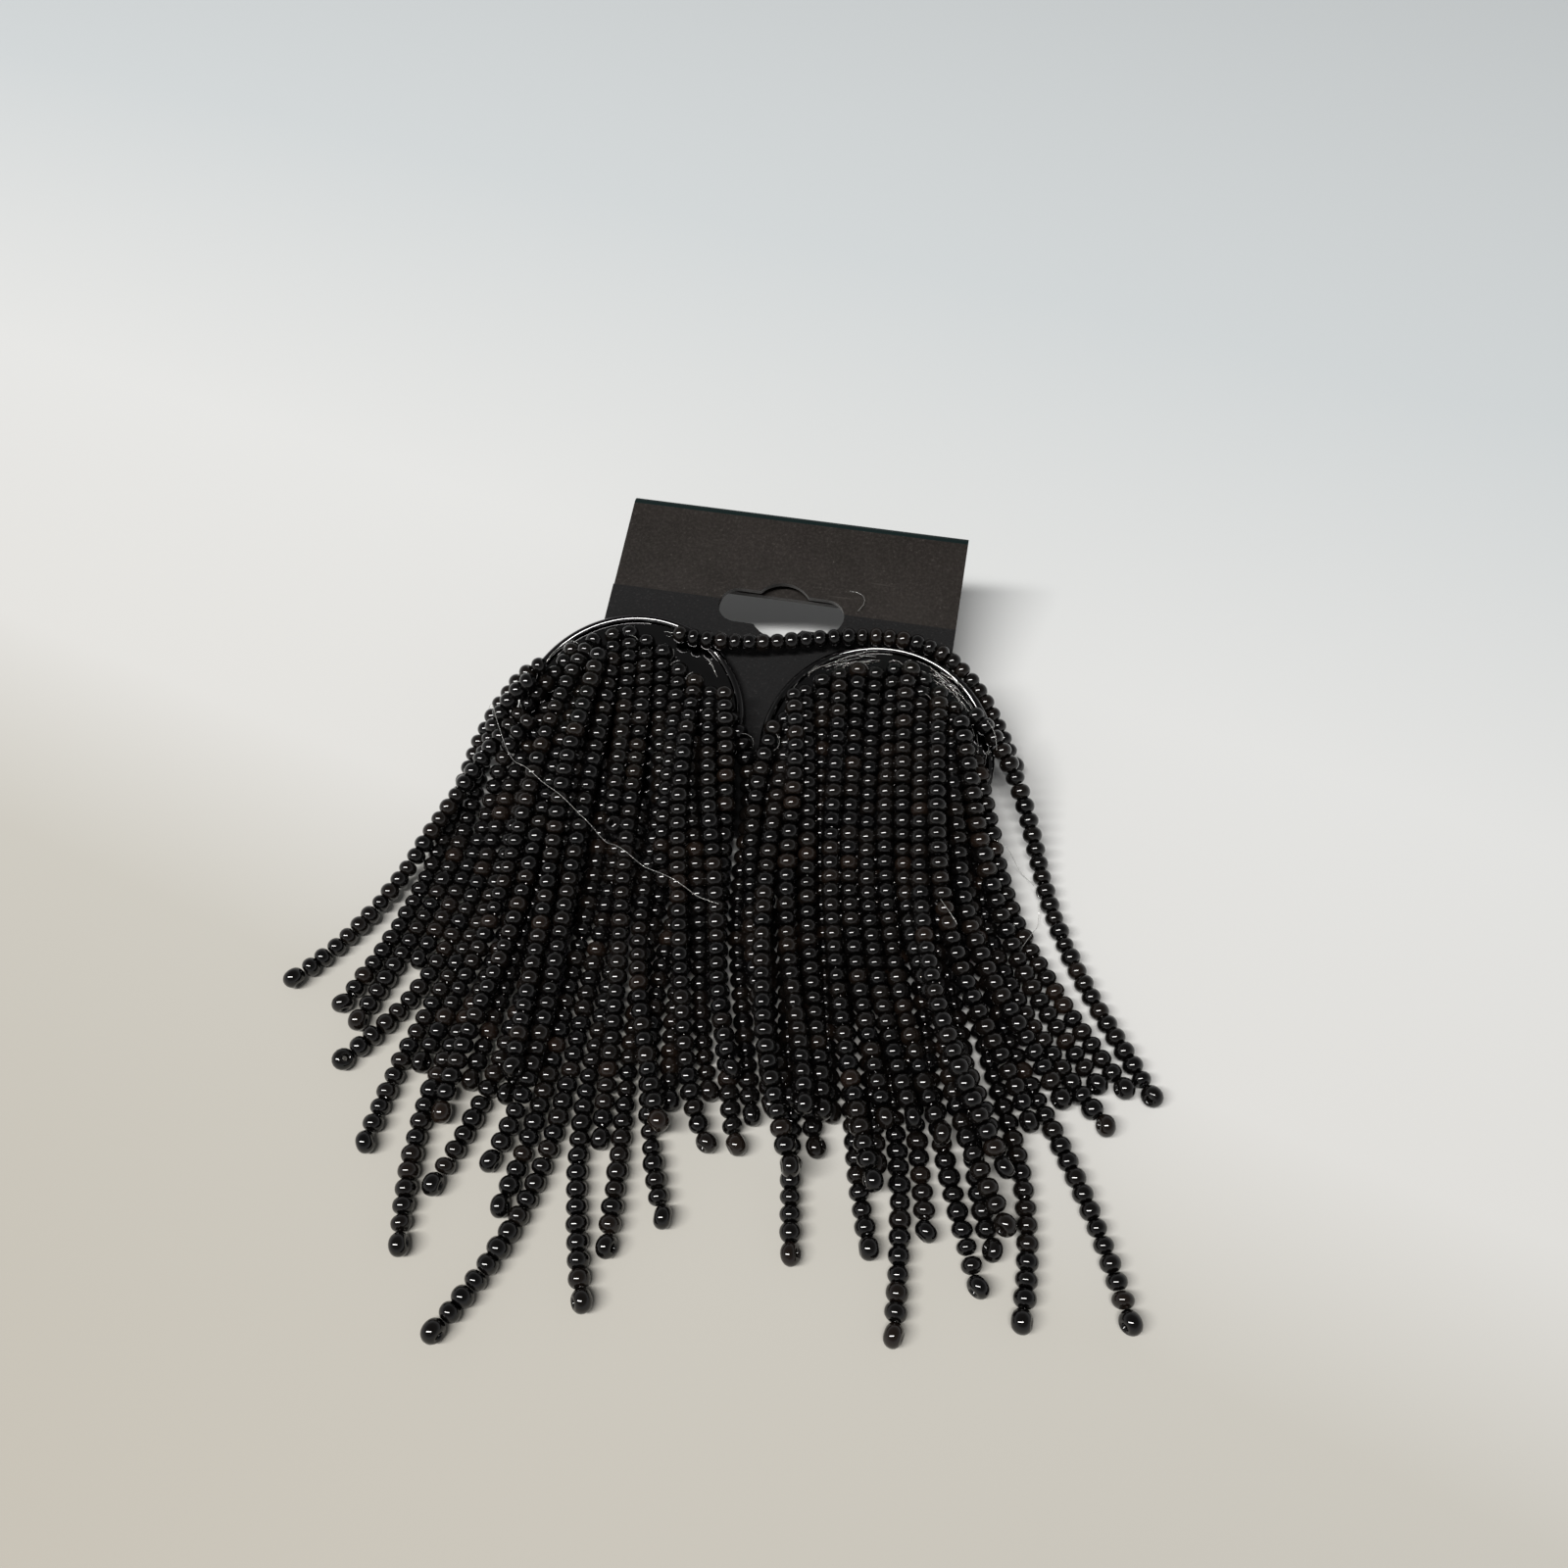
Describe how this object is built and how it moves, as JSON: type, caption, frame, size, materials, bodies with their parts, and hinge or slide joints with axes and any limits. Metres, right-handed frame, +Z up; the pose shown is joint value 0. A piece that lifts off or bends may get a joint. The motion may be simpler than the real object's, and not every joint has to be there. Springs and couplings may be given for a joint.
{
  "type": "pair of beaded fringe earrings on a display card",
  "caption": "Pair of round stud earrings with long seed-bead fringes, pinned side by side to a folded plastic hang card that lies on a table.",
  "frame": {"origin": "middle of the whole pair seen from above, at the height of the table it lies on", "axes": "+X across the card towards the right earring, +Y away from the fringe ends and up the card, +Z up from the table"},
  "size_m": [0.1088, 0.1168, 0.0162],
  "materials": {
    "card_plastic": "satin brown-black plastic with fine dust and scratches",
    "flock": "short black velvety flock",
    "plate_metal": "polished black nickel",
    "nut_metal": "plain grey metal",
    "glass_beads": "glossy opaque black-brown glass seed beads",
    "clear_thread": "clear nylon thread, in the looks alone"
  },
  "bodies": {
    "root": {"card": "card_plastic", "card_flock": "flock", "left_plate": "plate_metal", "right_plate": "plate_metal", "left_ear_nut": "nut_metal", "right_ear_nut": "nut_metal", "left_lower_strands": "glass_beads", "left_upper_strands": "glass_beads", "left_crossing_strand": "glass_beads", "right_lower_strands": "glass_beads", "right_upper_strands": "glass_beads"}
  },
  "joints": []
}
